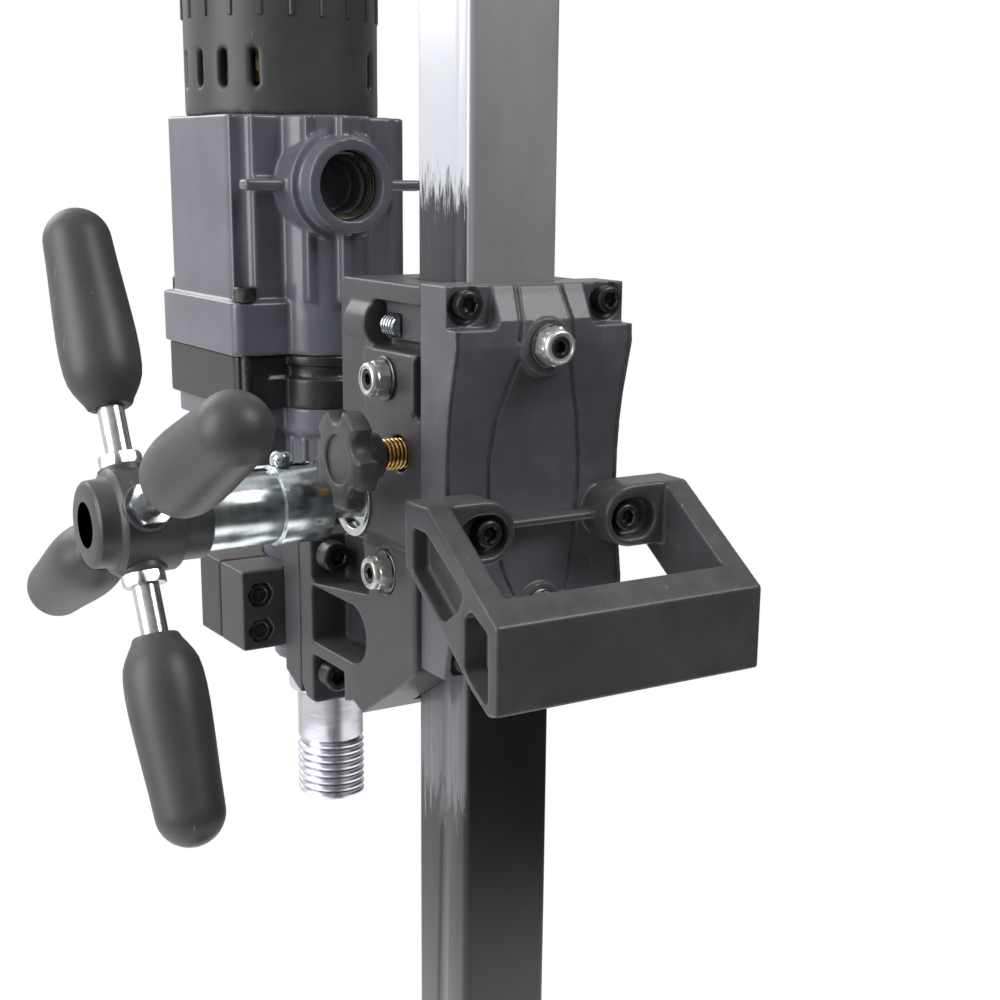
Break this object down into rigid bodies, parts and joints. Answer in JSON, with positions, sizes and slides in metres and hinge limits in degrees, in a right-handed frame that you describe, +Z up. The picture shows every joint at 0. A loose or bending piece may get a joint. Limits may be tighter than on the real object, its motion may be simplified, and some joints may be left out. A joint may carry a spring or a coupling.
{
  "type": "core drill rig",
  "caption": "Column core drill rig: floor stand, geared carriage with hand feed, grip handle and clamped wet core drill with threaded spindle.",
  "frame": {"origin": "centre of the column axis on the underside of the base plate, where it meets the floor", "axes": "+Z up along the column, +Y from the carriage cover towards the drill, +X across the rig away from the feed handle"},
  "size_m": [0.261, 0.5446, 0.95],
  "materials": {
    "black_cast": "satin black coated casting",
    "gloss_black": "gloss black coat",
    "grey_paint": "satin cool grey paint",
    "steel": "zinc plated steel",
    "chrome": "polished plated steel",
    "black_screw": "black oxide steel",
    "plastic": "fine grained black plastic",
    "rubber": "black rubber",
    "tyre": "solid rubber wheel",
    "brass": "brass and yellow plated wire",
    "red_paint": "red coated lever"
  },
  "bodies": {
    "stand": {"base_plate": "black_cast", "axle": "steel", "column_foot": "black_cast", "foot_bolts": "steel", "struts": "black_cast", "strut_bolts": "steel", "column_tube": "gloss_black", "column_cap": "plastic", "rack": "steel"},
    "carriage": {"carriage_body": "black_cast", "carriage_cover": "black_cast", "cover_screws": "black_screw", "guide_pads": "brass", "adjuster_screws": "black_screw", "adjuster_nuts": "chrome", "adjuster_washers": "steel", "side_stud": "steel", "grip_handle": "black_cast", "grip_screws": "black_screw", "boss_ring": "chrome", "mount_screws": "black_screw", "mount_bracket": "black_cast", "clamp_cap": "black_cast", "clamp_bolts": "black_screw", "clamp_nuts": "black_screw", "pad_bolt": "steel", "gearbox_housing": "grey_paint", "gear_case": "gloss_black", "spindle_neck": "grey_paint", "housing_bolts": "black_screw", "boss_seal": "rubber", "motor_housing": "plastic", "top_handle": "plastic", "brush_caps": "plastic", "cable_gland": "rubber", "water_inlet": "brass", "bearings": "chrome"},
    "feed_shaft": {"pinion_shaft": "steel", "hub_sleeve": "chrome"},
    "feed_handle": {"hub_tube": "chrome", "hub_screw": "chrome", "capstan_hub": "plastic", "spokes": "steel", "spoke_grips": "plastic"},
    "lock_collar": {"lock_washer": "steel"},
    "lock_screw": {"lock_knob": "plastic", "knob_stud": "steel", "knob_spring": "brass"},
    "drive_spindle": {"spindle": "chrome"},
    "lay_shaft": {"lay_gear": "steel"},
    "motor_rotor": {"armature": "steel"},
    "trigger": {"switch_trigger": "plastic"},
    "selector": {"gear_selector": "plastic"},
    "water_tap": {"tap_lever": "red_paint"},
    "wheel_l": {"wheel_left": "tyre"},
    "wheel_r": {"wheel_right": "tyre"},
    "screw_fl": {"level_fl": "steel"},
    "screw_fr": {"level_fr": "steel"},
    "screw_bl": {"level_bl": "steel"},
    "screw_br": {"level_br": "steel"}
  },
  "joints": [
    {"name": "carriage_slide", "type": "slide", "parent": "stand", "child": "carriage", "axis": [0, 0, 1], "range_m": [-0.175, 0.24]},
    {"name": "feed_turn", "type": "hinge", "parent": "carriage", "child": "feed_shaft", "pos_m": [0, 0.0383, 0.532], "axis": [1, 0, 0], "range_deg": [-837.6, 1147.9]},
    {"name": "hub_shift", "type": "slide", "parent": "feed_shaft", "child": "feed_handle", "axis": [1, 0, 0], "range_m": [0, 0.0085]},
    {"name": "lock_travel", "type": "slide", "parent": "carriage", "child": "lock_collar", "axis": [1, 0, 0], "range_m": [0, 0.0009375]},
    {"name": "lock_turn", "type": "hinge", "parent": "lock_collar", "child": "lock_screw", "pos_m": [-0.06, 0, 0.5554], "axis": [1, 0, 0], "range_deg": [0, 270]},
    {"name": "spindle_spin", "type": "hinge", "parent": "carriage", "child": "drive_spindle", "pos_m": [0, 0.142, 0.42], "axis": [0, 0, 1], "continuous": true},
    {"name": "lay_spin", "type": "hinge", "parent": "carriage", "child": "lay_shaft", "pos_m": [0, 0.162, 0.59], "axis": [0, 0, 1], "continuous": true},
    {"name": "rotor_spin", "type": "hinge", "parent": "carriage", "child": "motor_rotor", "pos_m": [0, 0.182, 0.72], "axis": [0, 0, 1], "continuous": true},
    {"name": "trigger_press", "type": "hinge", "parent": "carriage", "child": "trigger", "pos_m": [0, 0.178, 0.931], "axis": [1, 0, 0], "range_deg": [0, 8], "stiffness_Nm_per_rad": 0.6, "springref_deg": -6.88},
    {"name": "selector_turn", "type": "hinge", "parent": "carriage", "child": "selector", "pos_m": [0, 0.23, 0.63], "axis": [0, 1, 0], "range_deg": [-30, 30]},
    {"name": "tap_turn", "type": "hinge", "parent": "carriage", "child": "water_tap", "pos_m": [0.04, 0.142, 0.522], "axis": [0, 0, 1], "range_deg": [0, 90]},
    {"name": "wheel_l_spin", "type": "hinge", "parent": "stand", "child": "wheel_l", "pos_m": [-0.096, -0.266, 0.034], "axis": [1, 0, 0], "continuous": true},
    {"name": "wheel_r_spin", "type": "hinge", "parent": "stand", "child": "wheel_r", "pos_m": [0.096, -0.266, 0.034], "axis": [1, 0, 0], "continuous": true},
    {"name": "level_fl_turn", "type": "hinge", "parent": "stand", "child": "screw_fl", "pos_m": [-0.092, 0.095, 0.03], "axis": [0, 0, 1], "continuous": true},
    {"name": "level_fr_turn", "type": "hinge", "parent": "stand", "child": "screw_fr", "pos_m": [0.092, 0.095, 0.03], "axis": [0, 0, 1], "continuous": true},
    {"name": "level_bl_turn", "type": "hinge", "parent": "stand", "child": "screw_bl", "pos_m": [-0.092, -0.205, 0.03], "axis": [0, 0, 1], "continuous": true},
    {"name": "level_br_turn", "type": "hinge", "parent": "stand", "child": "screw_br", "pos_m": [0.092, -0.205, 0.03], "axis": [0, 0, 1], "continuous": true}
  ],
  "couplings": [
    {"joint": "feed_turn", "follows": "carriage_slide", "rad_per_m": 83.333},
    {"joint": "lock_turn", "follows": "lock_travel", "rad_per_m": 5026.5},
    {"joint": "lay_spin", "follows": "spindle_spin", "ratio": -3},
    {"joint": "rotor_spin", "follows": "spindle_spin", "ratio": 9}
  ]
}
